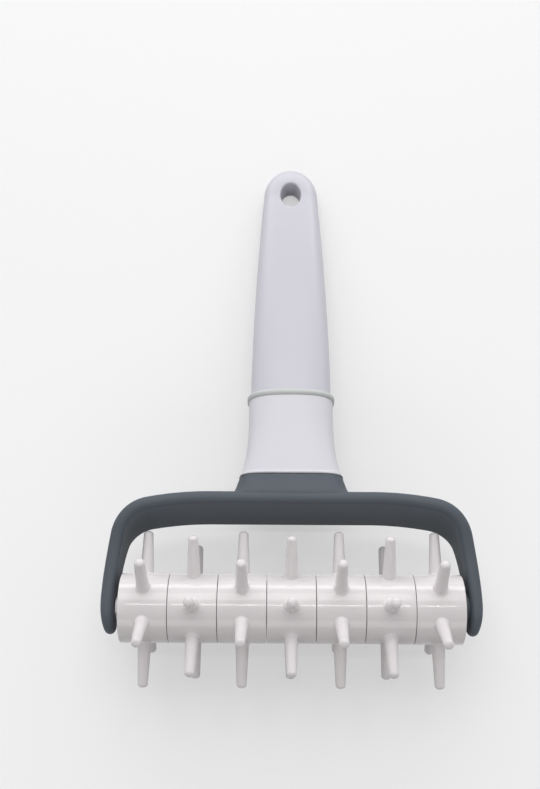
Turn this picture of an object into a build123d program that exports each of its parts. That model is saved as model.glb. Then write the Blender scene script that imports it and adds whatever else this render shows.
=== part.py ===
from build123d import *
from math import acos, cos, degrees, hypot, radians, sin, sqrt
import os

# A hand-held dough docker. Seven spiked rings turn together on an axle between the
# arms of a moulded yoke, and a flattened hollow handle is pushed on the yoke's tang.
# It is modelled round the middle of the axle, with X along the axle, Y up the handle
# and Z out of its front, and it is laid down on a table at the end.

# Driving dimensions, in millimetres and degrees.
# Spiked rings
ring_count = 7
barrel_diameter = 22.8
rim_wall = 2.4
web_thickness = 2.6
hub_diameter = 11.0
spike_circle_diameter = 51.4
spikes_per_ring = 6
spike_root_diameter = 4.5
spike_tip_diameter = 3.3
spike_dome_height = 1.1
spike_sink = 0.9
key_across_corners = 8.0
key_sides = 6
key_length = 1.65
key_clearance = 0.08
key_end_clearance = 0.3
roller_turn = 3.6

# Axle
axle_diameter = 4.0
axle_running_clearance = 0.06
axle_press_clearance = 0.02
axle_socket_depth = 2.4
axle_end_clearance = 0.1
axle_end_chamfer = 0.4
end_play = 0.3

# Yoke
arm_span = 126.5
bar_top = 37.85
strap_width = 25.0
strap_thickness = 4.6
strap_outer_round = 2.6
strap_inner_round = 1.8
shoulder_radius = 114.0
shoulder_turn = 11.0
corner_radius = 14.6
corner_turn = 68.9
arm_radius = 127.0
tip_radius = 33.0
narrow_height = 20.0
narrow_width = 15.8
arm_end_drop = 9.05
arm_end_width = 13.0
boss_diameter = 10.4
boss_length = 1.65
neck_flare_width = 14.0
neck_flare_depth = 5.5

# Handle
seam_height = 44.8
mouth_width = 36.6
mouth_depth = 18.8
ferrule_length = 31.0
ferrule_top_width = 30.5
ferrule_top_depth = 17.4
ferrule_rim_round = 0.5
handle_wall = 2.2
ferrule_deck = 3.0
collar_width = 32.0
collar_depth = 18.6
collar_thickness = 2.5
collar_round = 1.1
grip_width = 29.3
grip_depth = 16.8
grip_end_width = 21.6
grip_end_depth = 9.0
grip_length = 104.1
grip_dome_length = 13.5
grip_cavity_length = 74.0
hang_hole_width = 8.1
hang_hole_length = 11.7
hang_hole_below_end = 13.8
hang_hole_draft = 4.0
spigot_reach = 4.5
joint_gap = 0.1
tang_width = 14.0
tang_depth = 7.0
tang_corner = 1.2
tang_reach = 76.0
tang_clearance = 0.12
plug_depth_share = 0.6
rail_width = 1.8
rail_length = 36.0
rail_inset = 2.2
cut_overrun = 1.0

# The shape of a cross-section: its crown's radius as a share of an ellipse's, and its
# flank's and its corner's as shares of half its depth. The mouth is nearly a rectangle.
mouth_shape_shares = (8.0, 4.0, 0.6)
handle_shape_shares = (2.07, 1.2, 0.6)
flatness = 1e-6
quarter_turn = 90

# Places that follow from the sizes
strap_half = strap_width / 2
collar_height = seam_height + ferrule_length
grip_base = collar_height + collar_thickness
handle_end = grip_base + grip_length
dome_start = handle_end - grip_dome_length
key_turn = 180 / key_sides


def across_handle(height):
    """The plane square to the handle at that height, with X to the right."""
    return Plane(origin=(0, height, 0), x_dir=(1, 0, 0), z_dir=(0, 1, 0))


def oval_section(height, width, depth, shape_shares):
    """
    An oval across the handle, of eight arcs that run into each other: two crowns, two
    flanks and four corners. The shares give the radius of each.
    """
    crown_share, flank_share, corner_share = shape_shares
    half_width, half_depth = width / 2, depth / 2
    crown = crown_share * half_width**2 / half_depth
    flank = flank_share * half_depth
    corner = corner_share * min(half_width, half_depth)
    # The corner's centre is a corner's radius inside both the crown and the flank
    crown_y, flank_x = half_depth - crown, half_width - flank
    apart = hypot(flank_x, crown_y)
    along = ((crown - corner) ** 2 - (flank - corner) ** 2 + apart**2) / (2 * apart)
    aside = sqrt((crown - corner) ** 2 - along**2)
    centre_x = (along * flank_x - aside * crown_y) / apart
    centre_y = crown_y - (along * crown_y + aside * flank_x) / apart
    # Where the crown gives over to the corner, the corner's middle, and where the flank starts
    turn_x = centre_x * crown / (crown - corner)
    turn_y = crown_y + (centre_y - crown_y) * crown / (crown - corner)
    side_x = flank_x + (centre_x - flank_x) * flank / (flank - corner)
    side_y = centre_y * flank / (flank - corner)
    middle_x, middle_y = (turn_x + side_x) / 2 - centre_x, (turn_y + side_y) / 2 - centre_y
    stretch = corner / hypot(middle_x, middle_y)
    bend_x, bend_y = centre_x + middle_x * stretch, centre_y + middle_y * stretch
    with BuildSketch(across_handle(height)) as section:
        with BuildLine():
            ThreePointArc((turn_x, turn_y), (0, half_depth), (-turn_x, turn_y))
            ThreePointArc((-turn_x, turn_y), (-bend_x, bend_y), (-side_x, side_y))
            ThreePointArc((-side_x, side_y), (-half_width, 0), (-side_x, -side_y))
            ThreePointArc((-side_x, -side_y), (-bend_x, -bend_y), (-turn_x, -turn_y))
            ThreePointArc((-turn_x, -turn_y), (0, -half_depth), (turn_x, -turn_y))
            ThreePointArc((turn_x, -turn_y), (bend_x, -bend_y), (side_x, -side_y))
            ThreePointArc((side_x, -side_y), (half_width, 0), (side_x, side_y))
            ThreePointArc((side_x, side_y), (bend_x, bend_y), (turn_x, turn_y))
        make_face()
    return section.sketch


# Axle end to axle end: where the arms stand, and the rings that share the room between
# the left arm, which the first ring's key runs on, and the boss inside the right arm
arm_outer = arm_span / 2
arm_inner = arm_outer - strap_thickness
roller_left = -arm_inner + end_play + key_length
roller_right = arm_inner - boss_length - end_play
ring_width = (roller_right - roller_left) / ring_count

# One spike, standing on the barrel along X, tapered to a domed tip
barrel_radius = barrel_diameter / 2
spike_end = spike_circle_diameter / 2
spike_foot = barrel_radius - spike_sink
spike_dome_base = spike_end - spike_dome_height
spike_dome_radius = (spike_dome_height**2 + (spike_tip_diameter / 2) ** 2) / (2 * spike_dome_height)
with BuildPart() as spike:
    with BuildSketch():
        with BuildLine():
            Polyline(
                (spike_end, 0),
                (spike_foot, 0),
                (spike_foot, spike_root_diameter / 2),
                (spike_dome_base, spike_tip_diameter / 2),
            )
            RadiusArc((spike_dome_base, spike_tip_diameter / 2), (spike_end, 0), spike_dome_radius)
        make_face()
    revolve(axis=Axis.X)

# One ring, from its closed face at x = 0 to its cored face: rim, web, hub and bore,
# six spikes, a hexagonal key on the closed face and a socket for the next ring's key,
# turned by half a side, so that each ring on the stack is staggered
with BuildPart() as ring:
    with BuildSketch(Plane.YZ):
        Circle(barrel_radius)
    extrude(amount=ring_width)
    with BuildSketch(Plane.YZ.offset(web_thickness)):
        Circle(barrel_radius - rim_wall)
        Circle(hub_diameter / 2, mode=Mode.SUBTRACT)
    extrude(amount=ring_width, mode=Mode.SUBTRACT)
    with Locations(Plane.YZ.offset(ring_width / 2)):
        with PolarLocations(0, spikes_per_ring, start_angle=quarter_turn):
            add(spike.part)
    with BuildSketch(Plane.YZ):
        RegularPolygon(key_across_corners / 2, key_sides, rotation=key_turn)
    extrude(amount=-key_length)
    with BuildSketch(Plane.YZ.offset(ring_width)):
        RegularPolygon(key_across_corners / 2 + key_clearance, key_sides)
    extrude(amount=-(key_length + key_end_clearance), mode=Mode.SUBTRACT)
    with BuildSketch(Plane.YZ.offset(-key_length - cut_overrun)):
        Circle(axle_diameter / 2 + axle_running_clearance)
    extrude(amount=key_length + ring_width + 2 * cut_overrun, mode=Mode.SUBTRACT)

# Axle: a plain steel rod between the blind sockets of the arms
axle_half_length = arm_inner + axle_socket_depth - axle_end_clearance
with BuildPart() as axle:
    with BuildSketch(Plane.YZ.offset(-axle_half_length)):
        Circle(axle_diameter / 2)
    extrude(amount=2 * axle_half_length)
    chamfer(axle.edges().filter_by(GeomType.CIRCLE), axle_end_chamfer)

# Outline of the right half of the strap from the front. The outside runs along the
# bar, round a wide shoulder, a tight corner and the arm, and curves in at the tip.
# Headings are measured down from +X.
corner_heading = shoulder_turn + corner_turn
corner_height = (
    bar_top
    - shoulder_radius * (1 - cos(radians(shoulder_turn)))
    - corner_radius * (cos(radians(shoulder_turn)) - cos(radians(corner_heading)))
)


def arm_heading(height):
    """The heading of the arm's outer arc, in degrees, where it passes that height."""
    return degrees(acos(cos(radians(corner_heading)) - (corner_height - height) / arm_radius))


arm_low = corner_height - arm_radius * cos(radians(corner_heading))
arm_advance = arm_radius * (1 - sin(radians(corner_heading)))
corner_advance = corner_radius * (sin(radians(corner_heading)) - sin(radians(shoulder_turn)))
shoulder_advance = shoulder_radius * sin(radians(shoulder_turn))
bar_half_length = arm_outer - arm_advance - corner_advance - shoulder_advance
arm_turn = quarter_turn - corner_heading
tip_turn = degrees((arm_end_drop + cut_overrun + arm_low) / tip_radius)
inner_turn = arm_heading(-arm_end_drop - cut_overrun) - corner_heading
with BuildSketch() as strap_front:
    with BuildLine():
        bar_line = Line((0, bar_top), (bar_half_length, bar_top))
        shoulder = JernArc(bar_line @ 1, bar_line % 1, shoulder_radius, -shoulder_turn)
        corner = JernArc(shoulder @ 1, shoulder % 1, corner_radius, -corner_turn)
        arm = JernArc(corner @ 1, corner % 1, arm_radius, -arm_turn)
        tip = JernArc(arm @ 1, arm % 1, tip_radius, -tip_turn)
        inner_bar = Line((0, bar_top - strap_thickness), (bar_half_length, bar_top - strap_thickness))
        inner_shoulder = JernArc(
            inner_bar @ 1, inner_bar % 1, shoulder_radius - strap_thickness, -shoulder_turn
        )
        inner_corner = JernArc(
            inner_shoulder @ 1, inner_shoulder % 1, corner_radius - strap_thickness, -corner_turn
        )
        inner_arm = JernArc(
            inner_corner @ 1, inner_corner % 1, arm_radius - strap_thickness, -inner_turn
        )
        Line(tip @ 1, inner_arm @ 1)
        Line(bar_line @ 0, inner_bar @ 0)
    make_face()

# The same strap from the side: widest at the bar, narrowing to its round arm ends
arm_end_radius = arm_end_width / 2
arm_end_centre = arm_end_radius - arm_end_drop
with BuildSketch(Plane.YZ) as strap_side:
    with BuildLine():
        top = Line((bar_top + cut_overrun, 0), (bar_top + cut_overrun, strap_half))
        narrowing = Spline(
            top @ 1,
            (narrow_height, narrow_width / 2),
            (arm_end_centre, arm_end_radius),
            tangents=((-1, 0), (-1, 0)),
        )
        JernArc(narrowing @ 1, narrowing % 1, arm_end_radius, quarter_turn)
        mirror(about=Plane.XZ)
    make_face()

# Neck stations: height above the bar's top as a share of the neck, and how much of
# the flare into the bar is reached there sideways and from front to back
neck_height = seam_height - bar_top
neck_shares = [(1, 0, 0), (0.7, 0.1, 0.22), (0.4, 0.19, 0.52), (0.15, 0.32, 0.8), (-0.05, 0.56, 0.95), (-0.3, 1, 1)]

# Ferrule stations: shares of its length above the seam, of the narrowing from the mouth
# to the top, and of the change in depth from squarish at the mouth to oval at the top
ferrule_shares = [
    (0, 0, 0),
    (0.06, 0.21, 0.03),
    (0.16, 0.51, 0.15),
    (0.34, 0.8, 0.45),
    (0.6, 0.97, 0.8),
    (1, 1, 1),
]

# The plug on the neck slips into the ferrule as far as the ferrule's third station
plug_share, plug_narrowed, plug_rounded = ferrule_shares[2]
plug_height = ferrule_length * plug_share * plug_depth_share
plug_inset = 2 * handle_wall + 2 * joint_gap
plug_width = mouth_width - (mouth_width - ferrule_top_width) * plug_narrowed - plug_inset
plug_depth = mouth_depth - (mouth_depth - ferrule_top_depth) * plug_rounded - plug_inset


def wall_edges(part, side):
    """The long edges of the strap's walls that face away from (1) or towards (-1) the axle."""
    walls = part.faces().filter_by(lambda face: len(face.edges().filter_by(Axis.Z)) > 0)
    walls = walls.filter_by(lambda face: side * face.normal_at().dot(face.center()) > flatness)
    return walls.edges().filter_by(Axis.Z, reverse=True)


# Yoke: half the strap is cut out, rounded and mirrored, then the neck is lofted on its
# bar, with a plug that fits the ferrule's mouth and a tang that the handle is pushed on.
# The right arm has a boss against the cored ring, and both have a socket for the axle.
with BuildPart() as yoke:
    add(strap_front.sketch)
    extrude(amount=strap_half, both=True)
    extrude(to_extrude=strap_side.sketch, amount=arm_span, both=True, mode=Mode.INTERSECT)
    fillet(wall_edges(yoke.part, 1), strap_outer_round)
    fillet(wall_edges(yoke.part, -1), strap_inner_round)
    mirror(about=Plane.YZ)
    loft(
        sections=[
            oval_section(
                bar_top + neck_height * up,
                mouth_width + neck_flare_width * across,
                mouth_depth + neck_flare_depth * deep,
                mouth_shape_shares,
            )
            for up, across, deep in neck_shares
        ]
    )
    extrude(
        to_extrude=oval_section(seam_height, plug_width, plug_depth, mouth_shape_shares),
        amount=plug_height,
    )
    with BuildSketch(across_handle(seam_height)):
        RectangleRounded(tang_width, tang_depth, tang_corner)
    extrude(amount=tang_reach)
    with BuildSketch(Plane.YZ.offset(arm_inner - boss_length)):
        Circle(boss_diameter / 2)
    extrude(amount=boss_length + strap_thickness / 2)
    for side in (-1, 1):
        with BuildSketch(Plane.YZ.offset(side * (arm_inner + axle_socket_depth))):
            Circle(axle_diameter / 2 + axle_press_clearance)
        extrude(amount=-side * (axle_socket_depth + boss_length + cut_overrun), mode=Mode.SUBTRACT)

def ferrule_skin(inset, rise):
    """Sections of the ferrule, drawn in by the inset and stopping at that height above the seam."""
    sections = []
    for up, narrowed, rounded in ferrule_shares:
        width = mouth_width + (ferrule_top_width - mouth_width) * narrowed
        depth = mouth_depth + (ferrule_top_depth - mouth_depth) * rounded
        shape_shares = [
            mouth + (top - mouth) * rounded
            for mouth, top in zip(mouth_shape_shares, handle_shape_shares)
        ]
        sections.append(
            oval_section(seam_height + up * rise, width - 2 * inset, depth - 2 * inset, shape_shares)
        )
    return sections


spigot_width = grip_width - 2 * handle_wall - 2 * joint_gap
spigot_depth = grip_depth - 2 * handle_wall - 2 * joint_gap
with BuildPart() as ferrule:
    loft(sections=ferrule_skin(0, ferrule_length))
    rim = ferrule.faces().sort_by(Axis.Y)[0]
    fillet(rim.edges(), ferrule_rim_round)
    loft(sections=ferrule_skin(handle_wall, ferrule_length - ferrule_deck), mode=Mode.SUBTRACT)
    extrude(
        to_extrude=oval_section(collar_height, spigot_width, spigot_depth, handle_shape_shares),
        amount=collar_thickness + spigot_reach,
    )
    with BuildSketch(across_handle(seam_height)):
        RectangleRounded(tang_width + 2 * tang_clearance, tang_depth + 2 * tang_clearance, tang_corner)
    extrude(amount=tang_reach, mode=Mode.SUBTRACT)

# Collar: a thin rounded ring round the ferrule's spigot, a little proud of the handle.
with BuildPart() as collar:
    extrude(
        to_extrude=oval_section(collar_height, collar_width, collar_depth, handle_shape_shares),
        amount=collar_thickness,
    )
    fillet(collar.edges().group_by(Axis.Y)[0], collar_round)
    fillet(collar.edges().group_by(Axis.Y)[-1], collar_round)
    extrude(
        to_extrude=oval_section(
            collar_height,
            spigot_width + 2 * joint_gap,
            spigot_depth + 2 * joint_gap,
            handle_shape_shares,
        ),
        amount=collar_thickness,
        mode=Mode.SUBTRACT,
    )

# Grip: a taper of ovals, slimmer towards its domed end. The taper starts
# slowly, and the dome is round from the front and blunt from the side.
grip_shares = [0, 0.25, 0.5, 0.75, 1]
grip_dome_angles = [0, 25, 45, 61, 73, 81]
width_taper_power = 1.7
depth_taper_power = 1.3
dome_front_power = 2.1
dome_side_power = 4.0


def grip_width_at(share):
    """The grip's width at a share of its taper."""
    return grip_width - (grip_width - grip_end_width) * share**width_taper_power


def grip_depth_at(share):
    """The grip's depth at a share of its taper."""
    return grip_depth - (grip_depth - grip_end_depth) * share**depth_taper_power


def dome_shrink(share, power):
    """How much of its width or depth the grip keeps at a share of the dome's length."""
    return (1 - share**power) ** (1 / power)


taper_length = dome_start - grip_base


def grip_skin(inset, length):
    """Sections of the grip's taper, drawn in by the inset, up to that length from its base."""
    sections = []
    for share in grip_shares:
        reached = share * length / taper_length
        sections.append(
            oval_section(
                grip_base + share * length,
                grip_width_at(reached) - 2 * inset,
                grip_depth_at(reached) - 2 * inset,
                handle_shape_shares,
            )
        )
    return sections


# The cavity is a straight pull from the grip's foot, less four rails that hold the tang
with BuildPart() as grip_cavity:
    loft(sections=grip_skin(handle_wall, grip_cavity_length))
    with BuildSketch(across_handle(grip_base + spigot_reach + rail_inset)):
        with GridLocations(tang_width - 2 * rail_inset, 0, 2, 1):
            Rectangle(rail_width, grip_depth)
        Rectangle(tang_width, tang_depth + 2 * tang_clearance, mode=Mode.SUBTRACT)
    extrude(amount=rail_length, mode=Mode.SUBTRACT)

with BuildPart() as grip:
    loft(sections=grip_skin(0, taper_length))
    dome_sections = []
    for angle in grip_dome_angles:
        reached = sin(radians(angle))
        dome_sections.append(
            oval_section(
                dome_start + grip_dome_length * reached,
                grip_end_width * dome_shrink(reached, dome_front_power),
                grip_end_depth * dome_shrink(reached, dome_side_power),
                handle_shape_shares,
            )
        )
    loft(sections=dome_sections)
    add(grip_cavity.part, mode=Mode.SUBTRACT)
    with BuildSketch():
        with Locations((0, handle_end - hang_hole_below_end)):
            Ellipse(hang_hole_width / 2, hang_hole_length / 2)
    extrude(amount=grip_depth, both=True, taper=-hang_hole_draft, mode=Mode.SUBTRACT)

# The tool lies on a table: the second, fourth and sixth rings stand on spikes that are
# turned a little off straight down, and the back of the grip's dome touches the table too.
axle_height = (spike_end - spike_dome_radius) * cos(radians(roller_turn)) + spike_dome_radius
table_steps = 40
dome_steps = 200


def dome_reach(tilt, along, across):
    """How far the dome reaches in a direction given by its parts along and across the grip."""
    reach = 0
    for k in range(dome_steps):
        share = k / dome_steps
        height = dome_start + grip_dome_length * share
        half_depth = grip_end_depth * dome_shrink(share, dome_side_power) / 2
        reach = max(reach, height * along + half_depth * across)
    return reach


low_tilt, high_tilt = 0, quarter_turn / 2
for step in range(table_steps):
    tilt = (low_tilt + high_tilt) / 2
    if dome_reach(tilt, sin(radians(tilt)), cos(radians(tilt))) < axle_height:
        low_tilt = tilt
    else:
        high_tilt = tilt
handle_reach = dome_reach(tilt, cos(radians(tilt)), sin(radians(tilt)))
table_middle = (handle_reach - axle_height) / 2
lie_down = Pos(0, -table_middle, axle_height) * Rot(X=-tilt)

# Every ring is the same moulding. Each is turned by half a spike's spacing from the ring
# before it, because its key fits that ring's socket only so.
half_pitch = 180 / spikes_per_ring
laid = {
    "yoke": yoke.part.moved(lie_down),
    "axle": axle.part.moved(lie_down),
    "ferrule": ferrule.part.moved(lie_down),
    "collar": collar.part.moved(lie_down),
    "grip": grip.part.moved(lie_down),
}
for k in range(ring_count):
    seat = Location(
        (roller_left + k * ring_width, 0, 0), (tilt + roller_turn + half_pitch * (k + 1), 0, 0)
    )
    laid[f"spiked_ring_{k + 1}"] = ring.part.moved(lie_down * seat)

os.makedirs("parts", exist_ok=True)
for name, piece in laid.items():
    piece.label = name
    export_step(piece, f"parts/{name}.step")
print("tilt", round(tilt, 3), "table middle", round(table_middle, 3), "axle height", axle_height)
print("ring width", round(ring_width, 3), "from", round(roller_left, 3), "to", round(roller_right, 3))
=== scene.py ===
from math import atan2, cos, pi, radians, sin

import bpy
import numpy as np
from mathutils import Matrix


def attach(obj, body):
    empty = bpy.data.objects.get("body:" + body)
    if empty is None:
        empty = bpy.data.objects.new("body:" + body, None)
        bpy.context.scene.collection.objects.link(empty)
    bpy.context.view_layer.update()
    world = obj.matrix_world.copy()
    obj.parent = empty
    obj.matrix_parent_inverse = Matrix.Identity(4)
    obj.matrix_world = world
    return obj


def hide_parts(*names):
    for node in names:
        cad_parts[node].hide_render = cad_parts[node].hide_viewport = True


# The dough docker lies on a pale table, roller towards the viewer, in the soft light of
# a product photograph. Sizes are in millimetres until they go into the scene.
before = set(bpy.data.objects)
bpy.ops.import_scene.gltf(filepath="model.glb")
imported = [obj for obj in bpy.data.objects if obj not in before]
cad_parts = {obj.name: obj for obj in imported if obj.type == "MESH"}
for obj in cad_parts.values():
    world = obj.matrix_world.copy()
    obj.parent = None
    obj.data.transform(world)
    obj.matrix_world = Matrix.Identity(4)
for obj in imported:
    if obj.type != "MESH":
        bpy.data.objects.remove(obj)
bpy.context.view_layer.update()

# Table
# A plain table top, painted matt white, under the tool. A share of it glows for the eye
# alone, so it shows almost white and its shadow stays soft, while it throws no more light
# at the tool than grey paint would.
table_span = 3000.0
table_white = "#fcfcfc"
table_grey = "#808080"
table_glow_share = 0.42

# A mix node keeps its two colours and the mixed one in these sockets, because the first
# sockets of the same names are for numbers.
mix_low, mix_high, mixed = 6, 7, 2


def linear(shade):
    """A hex sRGB colour as linear red, green, blue and alpha."""
    values = []
    for start in (1, 3, 5):
        value = int(shade[start:start + 2], 16) / 255
        values.append(value / 12.92 if value <= 0.04045 else ((value + 0.055) / 1.055) ** 2.4)
    return (*values, 1.0)


def put(tree, kind, settings=(), **links):
    """Adds one node: settings are attributes or input values, and links feed its inputs."""
    node = tree.nodes.new(kind)
    for name, value in dict(settings).items():
        if hasattr(node, name):
            setattr(node, name, value)
        else:
            node.inputs[name].default_value = value
    for name, source in links.items():
        tree.links.new(source, node.inputs[name.replace("_", " ")])
    return node


def new_tree(name):
    """An empty node material and its tree."""
    material = bpy.data.materials.new(name)
    material.use_nodes = True
    material.node_tree.nodes.clear()
    return material, material.node_tree


def as_object(name, mesh):
    """Links a mesh to the scene as an object that stands at the origin."""
    thing = bpy.data.objects.new(name, mesh)
    bpy.context.scene.collection.objects.link(thing)
    return thing


def seen_part(tree):
    """1 for the rays that see a surface straight, mirrored or through glass, 0 for its light."""
    path = put(tree, "ShaderNodeLightPath")
    seen = path.outputs["Is Camera Ray"]
    for name in ("Is Glossy Ray", "Is Transmission Ray"):
        either = put(tree, "ShaderNodeMath", {"operation": "MAXIMUM"}, Value=seen)
        tree.links.new(path.outputs[name], either.inputs[1])
        seen = either.outputs["Value"]
    return seen


half = table_span / 2 / 1000
table_mesh = bpy.data.meshes.new("table_top")
table_mesh.from_pydata(
    [(-half, -half, 0), (half, -half, 0), (half, half, 0), (-half, half, 0)], [], [(0, 1, 2, 3)]
)
table = as_object("table_top", table_mesh)

# Matt emulsion paint: no shine, and the same white from every side.
table_paint, tree = new_tree("matt white table paint")
seen = seen_part(tree)
tint = put(tree, "ShaderNodeMix", {"data_type": "RGBA"}, Factor=seen)
tint.inputs[mix_low].default_value = linear(table_grey)
tint.inputs[mix_high].default_value = linear(table_white)
matt = put(tree, "ShaderNodeBsdfDiffuse", Color=tint.outputs[mixed])
glow = put(tree, "ShaderNodeEmission", {"Color": linear(table_white), "Strength": 1.0})
glow_part = put(tree, "ShaderNodeMath", {"operation": "MULTIPLY"}, Value=seen)
glow_part.inputs[1].default_value = table_glow_share
blend = put(
    tree, "ShaderNodeMixShader", Fac=glow_part.outputs["Value"], Shader=matt.outputs["BSDF"]
)
tree.links.new(glow.outputs["Emission"], blend.inputs[2])
put(tree, "ShaderNodeOutputMaterial", Surface=blend.outputs["Shader"])
table_mesh.materials.append(table_paint)

# Camera
# It stands over the roller's near side and looks steeply down at the middle of the tool.
# Its place and its turn, in degrees, put the outlines where the photograph has them.
camera_place = (-4.93, -126.77, 371.21)
camera_turn = (19.893, 0.298, 0.413)
camera_lens = 46.65
camera_sensor = 36
camera_nearest = 10
camera = bpy.data.objects.new("camera", bpy.data.cameras.new("camera"))
bpy.context.scene.collection.objects.link(camera)
camera.data.lens = camera_lens
camera.data.sensor_width = camera_sensor
camera.data.clip_start = camera_nearest / 1000
camera.location = [value / 1000 for value in camera_place]
camera.rotation_euler = [radians(value) for value in camera_turn]
bpy.context.scene.camera = camera

# Light
# A soft box hangs overhead and another stands low beyond the handle's end. A smaller one
# fills in from the viewer's side, and a narrow lamp draws the bright line along the rings.
# The room is brighter beyond the tool and at both sides than on the viewer's side.
bpy.context.scene.view_settings.view_transform = "Standard"


def lamp(name, place, target, size, watts, shade):
    """An area lamp at a place, aimed at a target, with its two side lengths in millimetres."""
    light = bpy.data.lights.new(name, "AREA")
    light.shape = "RECTANGLE"
    light.size, light.size_y = size[0] / 1000, size[1] / 1000
    light.energy = watts
    light.color = linear(shade)[:3]
    thing = bpy.data.objects.new(name, light)
    bpy.context.scene.collection.objects.link(thing)
    thing.location = [value / 1000 for value in place]
    away = np.subtract(place, target)
    thing.rotation_euler = (
        atan2(np.hypot(away[0], away[1]), away[2]),
        0,
        atan2(away[0], -away[1]),
    )


lamp("soft_box", (-60, 440, 900), (0, 20, 10), (760, 420), 2.1, "#fffefc")
lamp("back_box", (0, 860, 400), (0, -40, 20), (1300, 260), 3.9, "#fbfcff")
lamp("front_box", (0, -760, 440), (0, -80, 20), (760, 320), 1.1, "#fffdfc")
lamp("line_lamp", (0, -42, 770), (0, -78, 26), (440, 10), 0.5, "#ffffff")

# The room's light on the tool, as shares of white. It rises between two directions, from
# the viewer's side to beyond the tool, gains towards both sides, and falls overhead.
room_white = "#fbfbfe"
rise_from, rise_to = -0.4, 0.6
near_light, beyond_light = 0.08, 1.0
side_gain = 0.9
horizon_share, overhead_share = 0.9, 0.28
world = bpy.data.worlds.new("room")
bpy.context.scene.world = world
world.use_nodes = True
tree = world.node_tree
tree.nodes.clear()
place = put(tree, "ShaderNodeTexCoord")
split = put(tree, "ShaderNodeSeparateXYZ", Vector=place.outputs["Generated"])
level = put(
    tree,
    "ShaderNodeMapRange",
    {"From Min": rise_from, "From Max": rise_to, "To Min": near_light, "To Max": beyond_light},
    Value=split.outputs["Y"],
)
sideways = put(tree, "ShaderNodeMath", {"operation": "ABSOLUTE"}, Value=split.outputs["X"])
around = put(
    tree, "ShaderNodeMath", {"operation": "MULTIPLY_ADD"}, Value=sideways.outputs["Value"]
)
around.inputs[1].default_value = side_gain
tree.links.new(level.outputs["Result"], around.inputs[2])
overhead = put(
    tree,
    "ShaderNodeMapRange",
    {"From Min": 0.0, "From Max": 1.0, "To Min": horizon_share, "To Max": overhead_share},
    Value=split.outputs["Z"],
)
strength = put(
    tree, "ShaderNodeMath", {"operation": "MULTIPLY"}, Value=around.outputs["Value"]
)
tree.links.new(overhead.outputs["Result"], strength.inputs[1])

# Where it is seen or mirrored, the room is plain white.
white = put(
    tree, "ShaderNodeMix", {"B": 1.0}, Factor=seen_part(tree), A=strength.outputs["Value"]
)
room = put(
    tree, "ShaderNodeBackground", {"Color": linear(room_white)}, Strength=white.outputs["Result"]
)
put(tree, "ShaderNodeOutputWorld", Surface=room.outputs["Background"])

# Axle
# A plain rod of drawn steel through the rings, held in blind sockets in the arms. Only a
# glimpse of it shows beside the arms.
axle_shade = "#c3c3c6"
axle_grain = 1.11
axle_roughest, axle_smoothest = 0.42, 0.28


def noise_scale(size):
    """The Scale that gives a noise node patches of a size in millimetres."""
    return 1000 / size


def dress(node, material):
    """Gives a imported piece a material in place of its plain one."""
    for slot in node.material_slots:
        slot.material = material


# Drawing leaves a fine grain that dulls the metal unevenly. It is drawn a millimetre
# coarse, so that it shows at all.
axle_steel, tree = new_tree("drawn steel rod")
place = put(tree, "ShaderNodeTexCoord")
grain = put(
    tree,
    "ShaderNodeTexNoise",
    {"Scale": noise_scale(axle_grain), "Detail": 3.0},
    Vector=place.outputs["Object"],
)
rough = put(
    tree,
    "ShaderNodeMapRange",
    {"To Min": axle_smoothest, "To Max": axle_roughest},
    Value=grain.outputs["Fac"],
)
metal = put(
    tree,
    "ShaderNodeBsdfPrincipled",
    {"Base Color": linear(axle_shade), "Metallic": 1.0},
    Roughness=rough.outputs["Result"],
)
put(tree, "ShaderNodeOutputMaterial", Surface=metal.outputs["BSDF"])
dress(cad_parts["axle"], axle_steel)

# Spiked rings
# Seven equal mouldings of glossy white plastic, keyed end to end on the axle, so that
# each is turned by half a spike's spacing from the one before it.
ring_count = 7
ring_width = 16.2
barrel_radius = 11.4
ring_edge_round = 0.2
rim_inner_radius = 9.0
web_thickness = 2.6
hub_radius = 5.5
bore_radius = 2.06
key_radius = 4.0
key_length = 1.65
socket_radius = 4.08
socket_depth = 1.95
seam_half_width = 0.1
spike_end = 25.7
spikes_per_ring = 6
spike_root_radius = 2.25
spike_tip_radius = 1.65
spike_root_fillet = 0.6
spike_dome_height = 1.1
spike_sink = 0.5
roller_left = -ring_count * ring_width / 2
roller_turn = radians(3.6)

# Where the axle's line lies: Y and Z.
axle_place = (-77.778, 25.653)

# Points round a ring and round a spike, points along their roundings, and the shares of a
# straight stretch at which it gets a station.
ring_points, spike_points = 144, 40
ring_edge_points, spike_bend_points = 5, 9
quarters = (0.25, 0.5, 0.75)

# Faces that meet at more degrees than this keep a sharp edge between them.
crease_angle = 38


def round_the_ring(x, radius, turn):
    """Points at a distance from the axle, at an angle from straight up, with X along it."""
    return np.stack(
        [x, axle_place[0] - radius * np.sin(turn), axle_place[1] + radius * np.cos(turn)], axis=-1
    )


def hexagon(corner_radius, turn):
    """The radius of a hexagon's side at each angle: its flat's distance over a cosine."""
    across = np.mod(turn, pi / 3) - pi / 6
    return corner_radius * cos(pi / 6) / np.cos(across)


def grid_quads(rows, columns, close_rows):
    """Corner numbers of a grid's quads; the columns close on themselves, the rows if asked."""
    last = rows if close_rows else rows - 1
    row, column = np.meshgrid(np.arange(last), np.arange(columns), indexing="ij")
    below, beside = (row + 1) % rows, (column + 1) % columns
    corners = [
        row * columns + column,
        row * columns + beside,
        below * columns + beside,
        below * columns + column,
    ]
    return np.stack(corners, axis=-1).reshape(-1, 4)


def end_fans(rows, columns, count):
    """Triangles that close a grid's two end loops at two middle points numbered count and on."""
    here = np.arange(columns)
    beside = (here + 1) % columns
    top = (rows - 1) * columns
    near = np.stack([np.full(columns, count), beside, here], axis=-1)
    far = np.stack([np.full(columns, count + 1), top + here, top + beside], axis=-1)
    return np.concatenate([near, far])


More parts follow.
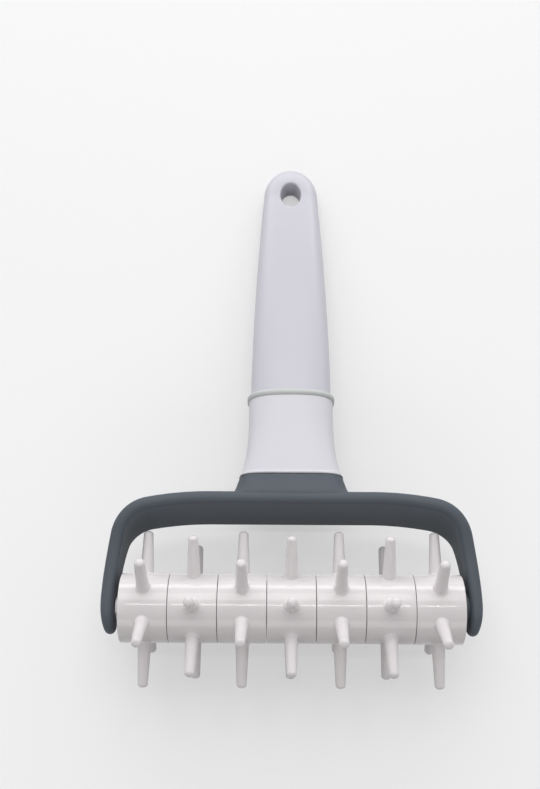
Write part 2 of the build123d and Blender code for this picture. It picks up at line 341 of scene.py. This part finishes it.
def shell(points, close_rows=False):
    """Vertices and faces of a closed skin over a grid of points in rows of closed loops."""
    rows, columns = points.shape[:2]
    vertices = points.reshape(-1, 3)
    faces = [grid_quads(rows, columns, close_rows).tolist()]
    if not close_rows:
        faces.append(end_fans(rows, columns, len(vertices)).tolist())
        vertices = np.concatenate([vertices, [points[0].mean(axis=0), points[-1].mean(axis=0)]])
    return vertices, [face for group in faces for face in group]


def cone_sum(points, corners):
    """Six times the volume between triangles and the origin: the sum of a . (b x c)."""
    a, b, c = (points[corners[:, column]] for column in range(3))
    return np.einsum("ij,ij->i", a, np.cross(b, c)).sum()


def skin_object(name, skins, material):
    """
    One object from closed skins in millimetres, smooth up to the crease angle. A skin whose
    faces enclose a negative volume gets them turned round, so that they look outwards.
    """
    vertices, faces, count = [], [], 0
    for points, corners in skins:
        halves = np.array([face[:3] for face in corners])
        quads = np.array([face for face in corners if len(face) == 4])
        volume = cone_sum(points, halves) + cone_sum(points, quads[:, [0, 2, 3]])
        step = 1 if volume > 0 else -1
        faces += [[corner + count for corner in face[::step]] for face in corners]
        vertices.append(points / 1000)
        count += len(points)
    mesh = bpy.data.meshes.new(name)
    mesh.from_pydata(np.concatenate(vertices).tolist(), [], faces)
    mesh.shade_smooth()
    mesh.set_sharp_from_angle(angle=radians(crease_angle))
    mesh.materials.append(material)
    return as_object(name, mesh)


def moulded_plastic(name, shade, shade_low, roughness, ripple, gloss=0.5, cloud=0.0):
    """
    Injection-moulded plastic. Two close tones drift over centimetres. A ripple about 2 mm
    long, whose height is the given share of 0.1 mm, softens what the surface mirrors. A
    cloudy one lets light a little way in, every colour equally deep.
    """
    tone_patch, ripple_length, ripple_height = 26.3, 2.08, 0.1
    roughness_spread = 0.03
    cloud_depth = 2.0
    material, tree = new_tree(name)
    place = put(tree, "ShaderNodeTexCoord")
    drift = put(
        tree,
        "ShaderNodeTexNoise",
        {"Scale": noise_scale(tone_patch), "Detail": 2.0},
        Vector=place.outputs["Object"],
    )
    tone = put(tree, "ShaderNodeMix", {"data_type": "RGBA"}, Factor=drift.outputs["Fac"])
    tone.inputs[mix_low].default_value = linear(shade_low)
    tone.inputs[mix_high].default_value = linear(shade)
    fine = put(
        tree,
        "ShaderNodeTexNoise",
        {"Scale": noise_scale(ripple_length), "Detail": 4.0},
        Vector=place.outputs["Object"],
    )
    bump = put(
        tree,
        "ShaderNodeBump",
        {"Strength": ripple, "Distance": ripple_height / 1000},
        Height=fine.outputs["Fac"],
    )
    rough = put(
        tree,
        "ShaderNodeMapRange",
        {"To Min": roughness - roughness_spread, "To Max": roughness + roughness_spread},
        Value=fine.outputs["Fac"],
    )
    plastic = put(
        tree,
        "ShaderNodeBsdfPrincipled",
        {
            "IOR": 1.49,
            "Specular IOR Level": gloss,
            "Subsurface Weight": cloud,
            "Subsurface Scale": cloud_depth / 1000,
            "Subsurface Radius": (1.0, 1.0, 1.0),
        },
        Base_Color=tone.outputs[mixed],
        Roughness=rough.outputs["Result"],
        Normal=bump.outputs["Normal"],
    )
    put(tree, "ShaderNodeOutputMaterial", Surface=plastic.outputs["BSDF"])
    return material


# White polystyrene, moulded in a polished tool: hard and glossy, so it draws sharp
# highlights, with a faint warm cast in its own shade.
ring_white = moulded_plastic("glossy white polystyrene", "#e8e4e3", "#e4dfdf", 0.12, 0.05)


def ring_skin(left, turn):
    """
    One ring without its spikes: a closed profile of stations along X, each with a radius
    or a hexagon's corner radius, turned round the axle. Its edges are quarter circles.
    """
    bend = np.linspace(0, pi / 2, ring_edge_points)
    right = left + ring_width
    rim_left, rim_right = left + seam_half_width, right - seam_half_width
    edge = [(ring_edge_round * (1 - sin(t)), ring_edge_round * (1 - cos(t))) for t in bend]
    stations = [
        (left - key_length, bore_radius, 0),
        (left - key_length, 0, key_radius),
        (left, 0, key_radius),
        (left, hub_radius, 0),
        (rim_left, hub_radius + seam_half_width, 0),
    ]
    stations += [(rim_left + inset, barrel_radius - drop, 0) for inset, drop in edge[::-1]]
    stations += [(left + ring_width * share, barrel_radius, 0) for share in quarters]
    stations += [(rim_right - inset, barrel_radius - drop, 0) for inset, drop in edge]
    stations += [
        (rim_right, rim_inner_radius, 0),
        (left + web_thickness, rim_inner_radius, 0),
        (left + web_thickness, hub_radius, 0),
        (right, hub_radius, 0),
        (right, 0, socket_radius),
        (right - socket_depth, 0, socket_radius),
        (right - socket_depth, bore_radius, 0),
    ]
    x, radius, corner = (np.array(column)[:, None] for column in zip(*stations))
    around = np.linspace(0, 2 * pi, ring_points, endpoint=False)[None, :]
    key, socket = hexagon(1.0, around - turn), hexagon(1.0, around - turn - pi / 6)
    six = np.where(x < left + ring_width / 2, key, socket)
    spread = np.where(corner > 0, corner * six, radius)
    return shell(round_the_ring(x + 0 * around, spread, around), close_rows=True)


def spike_skin(middle, turn):
    """
    One spike: a radius that falls in a quarter circle from the barrel, tapers straight,
    and closes in a quarter ellipse at the tip. Its foot follows the barrel's roundness,
    less and less up to three times the fillet's height.
    """
    bend = np.linspace(0, pi / 2, spike_bend_points)
    foot_height = 3 * spike_root_fillet
    top = spike_end - barrel_radius - spike_dome_height
    height = [-spike_sink]
    radius = [spike_root_radius + spike_root_fillet]
    for t in bend:
        height.append(spike_root_fillet * (1 - cos(t)))
        radius.append(spike_root_radius + spike_root_fillet * (1 - sin(t)))
    for share in quarters:
        height.append(spike_root_fillet + (top - spike_root_fillet) * share)
        radius.append(spike_root_radius + (spike_tip_radius - spike_root_radius) * share)
    for t in bend[:-1]:
        height.append(top + spike_dome_height * sin(t))
        radius.append(spike_tip_radius * cos(t))
    height, radius = np.array(height)[:, None], np.array(radius)[:, None]
    around = np.linspace(0, 2 * pi, spike_points, endpoint=False)[None, :]
    along, across = radius * np.cos(around), radius * np.sin(around)
    sag = barrel_radius - np.sqrt(barrel_radius**2 - across**2)
    out = barrel_radius + height - sag * np.clip(1 - height / foot_height, 0, 1)
    y = axle_place[0] - out * sin(turn) - across * cos(turn)
    z = axle_place[1] + out * cos(turn) - across * sin(turn)
    return shell(np.stack([middle + along, y, z], axis=-1))


for number in range(1, ring_count + 1):
    left = roller_left + (number - 1) * ring_width
    turn = roller_turn + number * pi / spikes_per_ring
    skins = [ring_skin(left, turn)]
    for spike in range(spikes_per_ring):
        skins.append(spike_skin(left + ring_width / 2, turn + spike * 2 * pi / spikes_per_ring))
    ring = skin_object(f"docking_ring_{number}", skins, ring_white)
    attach(ring, "roller")
    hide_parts(f"spiked_ring_{number}")

# Yoke
# One moulding in dark grey plastic: a wide strap that arches over the roller and narrows
# to its round arm ends, with a neck flared out of the middle of the bar.

# ABS from an etched tool: satin, so it shows broad, soft highlights and a faint blue.
yoke_grey = moulded_plastic("satin dark grey ABS", "#50575e", "#4c535a", 0.62, 0.25, gloss=0.4)
dress(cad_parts["yoke"], yoke_grey)

# Ferrule
# A sleeve of white plastic, pushed over the yoke's neck: squarish and flared at its mouth,
# oval at its top.
seam_height = 44.8
ferrule_length = 31.0
mouth_size = (36.6, 18.8)
ferrule_top_size = (30.5, 17.4)
mouth_power, handle_power = 4.6, 2.7
ferrule_rim_round = 0.3
mouth_gap = 0.3
lip_height, lip_proud = 0.5, 0.22
handle_tilt = radians(6.917)

# Stations up the sleeve: the share of its length, and how much of the width's and of the
# depth's change from mouth to top is done there.
ferrule_shares = [
    (0, 0, 0),
    (0.06, 0.21, 0.03),
    (0.16, 0.51, 0.15),
    (0.34, 0.8, 0.45),
    (0.6, 0.97, 0.8),
    (1, 1, 1),
]

# Points round each loop of the handle, and rows up the sleeve, its edge and its lip.
loop_points = 180
ferrule_rows, rim_rows, lip_rows = 48, 7, 15


def up_the_handle(x, height, front):
    """Points beside the handle's line: X, height up the handle and distance to its front."""
    y = axle_place[0] + height * cos(handle_tilt) + front * sin(handle_tilt)
    z = axle_place[1] - height * sin(handle_tilt) + front * cos(handle_tilt)
    return np.stack(np.broadcast_arrays(x, y, z), axis=-1)


def oval_loops(height, width, depth, power):
    """
    Superellipses |x / a|^n + |y / b|^n = 1 across the handle, one row for each height. At
    each angle t the point is (a cos t, b sin t) over the nth root of |cos t|^n + |sin t|^n.
    """
    height, width, depth, power = (
        np.atleast_1d(np.asarray(value, float))[:, None] for value in (height, width, depth, power)
    )
    turn = np.linspace(0, 2 * pi, loop_points, endpoint=False)[None, :]
    c, s = np.cos(turn), np.sin(turn)
    size = (np.abs(c) ** power + np.abs(s) ** power) ** (-1 / power)
    return up_the_handle(size * c * width / 2, height + 0 * c, size * s * depth / 2)


def smooth_between(stations, column, at):
    """
    A column of a table of stations, read at any share. Between two stations it is the cubic
    through both with a slope at each: the mean of the slopes beside it, or 0 at a turn.
    """
    x = np.array([row[0] for row in stations], float)
    y = np.array([row[column] for row in stations], float)
    slope = np.diff(y) / np.diff(x)
    ends = np.concatenate([[slope[0]], (slope[1:] + slope[:-1]) / 2, [slope[-1]]])
    flat = np.concatenate([[False], slope[1:] * slope[:-1] <= 0, [False]])
    ends[flat] = 0
    here = np.clip(np.searchsorted(x, at) - 1, 0, len(x) - 2)
    width = x[here + 1] - x[here]
    t = (at - x[here]) / width
    return (
        y[here] * (1 + 2 * t) * (1 - t) ** 2
        + ends[here] * width * t * (1 - t) ** 2
        + y[here + 1] * t**2 * (3 - 2 * t)
        + ends[here + 1] * width * t**2 * (t - 1)
    )


# White polypropylene: satin and a little waxy, so its highlights have soft ends.
ferrule_white = moulded_plastic("satin white polypropylene", "#dbdadf", "#d7d6dc", 0.34, 0.2)
share = np.linspace(0, 1, ferrule_rows)
narrowed = smooth_between(ferrule_shares, 1, share)
rounded = smooth_between(ferrule_shares, 2, share)
width = mouth_size[0] + (ferrule_top_size[0] - mouth_size[0]) * narrowed
depth = mouth_size[1] + (ferrule_top_size[1] - mouth_size[1]) * rounded
power = mouth_power + (handle_power - mouth_power) * rounded
height = seam_height + ferrule_length * share

# The mouth's edge is a quarter circle, and a low lip swells round it in the shape of a
# bell curve. A gap as thin as a hair shows between the mouth and the neck.
bend = np.linspace(0, pi / 2, rim_rows)
lead = ferrule_rim_round * (1 - np.sin(bend))
start = seam_height + mouth_gap
rim = start + ferrule_rim_round * (1 - np.cos(bend))
rise = start + np.linspace(ferrule_rim_round, 4 * lip_height, lip_rows + 1)[1:]
heights = np.concatenate([rim, rise, height[height > rise[-1]]])
lip = 2 * lip_proud * np.exp(-(((heights - start - lip_height) / lip_height) ** 2))
widths = np.interp(heights, height, width) + lip
depths = np.interp(heights, height, depth) + lip
widths[:rim_rows] -= 2 * lead
depths[:rim_rows] -= 2 * lead
powers = np.interp(heights, height, power)
loops = oval_loops(heights, widths, depths, powers)
ferrule = skin_object("ferrule_sleeve", [shell(loops)], ferrule_white)
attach(ferrule, "frame")
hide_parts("ferrule")

# Collar
# A thin ring of cloudy greenish grey plastic, clamped between the ferrule and the grip. Its
# outer side is round.
collar_size = (32.0, 18.6)
collar_thickness = 2.5
collar_round = 1.1
collar_height = seam_height + ferrule_length
collar_rows = 17

# Soft, cloudy plastic: light goes a little way in, which evens out its shading.
collar_cloudy = moulded_plastic(
    "cloudy soft plastic", "#cacdca", "#c4c8c5", 0.34, 0.2, cloud=0.3
)
bend = np.linspace(-pi / 2, pi / 2, collar_rows)
swell = collar_round * (1 - np.cos(bend))
heights = collar_height + collar_thickness / 2 * (1 + np.sin(bend))
widths, depths = (size - 2 * swell for size in collar_size)
loops = oval_loops(heights, widths, depths, np.full(collar_rows, handle_power))
collar = skin_object("collar_ring", [shell(loops)], collar_cloudy)
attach(collar, "frame")
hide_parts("collar")

# Grip
# A hollow pale plastic handle, flattened and slimmer towards its domed end, with an oval
# hole to hang it by. It is pushed on a tang that stands up from the yoke.
grip_base = collar_height + collar_thickness
grip_size = (29.3, 16.8)
grip_end_size = (21.6, 9.0)
grip_length = 104.1
dome_length = 13.5
hole_size = (8.1, 11.7)
hole_below_end = 13.8
hole_round = 0.9
width_taper_power, depth_taper_power = 1.7, 1.3
dome_front_power, dome_side_power = 2.1, 4.0
taper_rows, dome_rows = 70, 44

# Pale ABS from a smooth tool: an even, faintly blue white with one long soft highlight.
grip_white = moulded_plastic("pale smooth ABS", "#d1d0d7", "#cdccd4", 0.3, 0.15)

# Up the taper each size falls by a power of the height's share. Up the dome it falls along
# a superellipse, and the last loop stays just open for its end fan.
share = np.linspace(0, 1, taper_rows)
reached = np.sin(np.linspace(0, pi / 2, dome_rows + 2)[1:-1])
taper = grip_length - dome_length
heights = np.concatenate([grip_base + taper * share, grip_base + taper + dome_length * reached])
widths, depths = (
    np.concatenate(
        [
            size - (size - end_size) * share**taper_power,
            end_size * (1 - reached**dome_power) ** (1 / dome_power),
        ]
    )
    for size, end_size, taper_power, dome_power in (
        (grip_size[0], grip_end_size[0], width_taper_power, dome_front_power),
        (grip_size[1], grip_end_size[1], depth_taper_power, dome_side_power),
    )
)
loops = oval_loops(heights, widths, depths, np.full(len(heights), handle_power))
grip = skin_object("grip_shell", [shell(loops)], grip_white)

# The hole's cutter is an oval carried through the grip. It flares in a quarter circle
# where it meets each face, which leaves the hole's edge rounded, and goes on outside.
hole_points, hole_bend_points = 96, 8
cutter_overshoot, cutter_overspread = 3, 1.5
hole_height = grip_base + grip_length - hole_below_end
hole_half_depth = grip_end_size[1] / 2
bend = np.linspace(0, pi / 2, hole_bend_points)
front = np.concatenate(
    [
        [0.0],
        hole_half_depth - hole_round * (1 - np.sin(bend)),
        [hole_half_depth + cutter_overshoot],
    ]
)
flare = np.concatenate(
    [[0.0], hole_round * (1 - np.cos(bend)), [hole_round + cutter_overspread]]
)
front = np.concatenate([-front[:0:-1], front])[:, None]
flare = np.concatenate([flare[:0:-1], flare])[:, None]
turn = np.linspace(0, 2 * pi, hole_points, endpoint=False)[None, :]
loops = up_the_handle(
    (hole_size[0] / 2 + flare) * np.cos(turn),
    hole_height + (hole_size[1] / 2 + flare) * np.sin(turn),
    front + 0 * turn,
)
cutter = skin_object("hole_cutter", [shell(loops)], grip_white)
cut = grip.modifiers.new("hang_hole", "BOOLEAN")
cut.operation = "DIFFERENCE"
cut.object = cutter
cut.solver = "EXACT"
bpy.context.view_layer.update()
pierced = bpy.data.meshes.new_from_object(grip.evaluated_get(bpy.context.evaluated_depsgraph_get()))
grip.modifiers.clear()
grip.data = pierced
pierced.name = "grip_shell"
bpy.data.objects.remove(cutter)
pierced.shade_smooth()
pierced.set_sharp_from_angle(angle=radians(crease_angle))
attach(grip, "frame")
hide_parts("grip")
